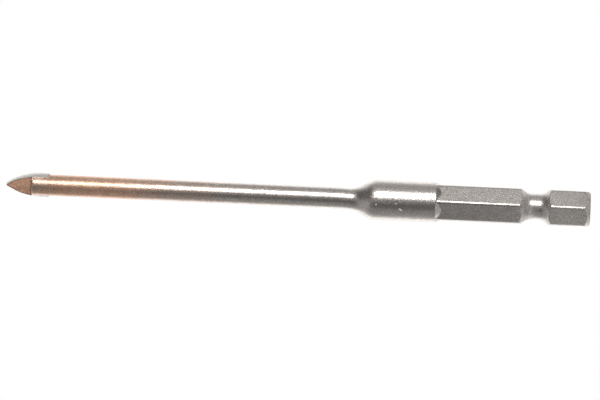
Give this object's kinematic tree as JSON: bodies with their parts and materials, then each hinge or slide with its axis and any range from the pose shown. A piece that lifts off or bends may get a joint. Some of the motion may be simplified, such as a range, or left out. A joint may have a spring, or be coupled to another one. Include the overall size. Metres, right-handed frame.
{
  "type": "glass and tile drill bit",
  "caption": "Glass and tile drill bit: slim round shaft with a brazed spear-shaped carbide plate, turned collar and quick-change hex shank with a ball groove.",
  "frame": {"origin": "centre of the shank's flat end face, on the bit's axis, where the bit stands on a table", "axes": "+Z along the bit's axis from the shank's end face up to the carbide tip; +X and -X out of two flats of the hex; a corner of the hex faces +Y and another -Y"},
  "size_m": [0.0072, 0.0072, 0.1062],
  "materials": {
    "satin_steel": "satin",
    "tungsten_carbide": "satin",
    "braze_metal": "satin"
  },
  "bodies": {
    "root": {"steel_body": "satin_steel", "carbide_tip": "tungsten_carbide", "braze_joint": "braze_metal"}
  },
  "joints": []
}
